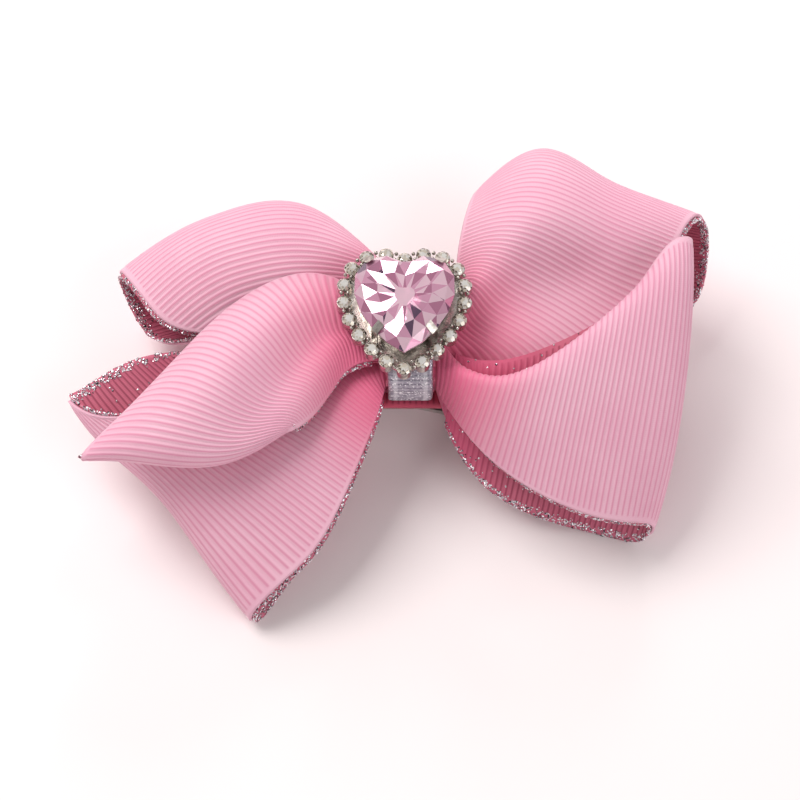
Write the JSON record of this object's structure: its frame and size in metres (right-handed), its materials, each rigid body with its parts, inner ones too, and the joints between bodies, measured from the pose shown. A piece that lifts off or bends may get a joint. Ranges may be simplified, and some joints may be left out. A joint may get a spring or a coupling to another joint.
{
  "type": "hair bow",
  "caption": "Boutique hair bow of ribbed pink ribbon loops with glitter lining, a wrapped knot, a heart crystal in a stone surround and an alligator clip.",
  "frame": {"origin": "middle of the bow's lowest level, in plan and on the level its back loops rest on", "axes": "+X to the viewer's right along the bow and the clip, +Y up the bow from its point to its notch, +Z out of the front, from the clip to the gem"},
  "size_m": [0.0882, 0.0656, 0.027],
  "materials": {
    "pink_ribbon": "ribbed grosgrain, soft sheen",
    "lining_ribbon": "ribbed ribbon with silver glitter net and edges",
    "wrap_ribbon": "silver lurex, ribbed",
    "thread": "twisted thread",
    "glue": "clear hot glue, dull",
    "setting_metal": "plated, polished",
    "stone_glass": "clear cut glass, foiled",
    "pink_glass": "pink cut glass, foiled back",
    "cover_ribbon": "ribbed ribbon",
    "clip_steel": "nickel plated, satin",
    "spring_steel": "bright wire"
  },
  "bodies": {
    "bow": {"upper_right_loop": "pink_ribbon", "lower_right_loop": "pink_ribbon", "front_left_loop": "pink_ribbon", "lower_left_loop": "pink_ribbon", "upper_left_loop": "pink_ribbon", "upper_right_lining": "lining_ribbon", "lower_right_lining": "lining_ribbon", "front_left_lining": "lining_ribbon", "lower_left_lining": "lining_ribbon", "upper_left_lining": "lining_ribbon", "gathered_core": "pink_ribbon", "binding_thread": "thread", "centre_wrap": "wrap_ribbon", "glue_pad": "glue", "surround_setting": "setting_metal", "surround_stones": "stone_glass", "claw_setting": "setting_metal", "heart_crystal": "pink_glass", "clip_cover": "cover_ribbon", "clip_upper_arm": "clip_steel", "hinge_pin": "clip_steel", "clip_spring": "spring_steel"},
    "jaw": {"clip_lower_jaw": "clip_steel"}
  },
  "joints": [
    {"name": "clip_hinge", "type": "hinge", "parent": "bow", "child": "jaw", "pos_m": [0.01159, -0.00013, 0.00763], "axis": [0, -1, 0], "range_deg": [0, 25], "stiffness_Nm_per_rad": 0.03, "springref_deg": -11.46, "deforming": ["clip_spring"]}
  ]
}
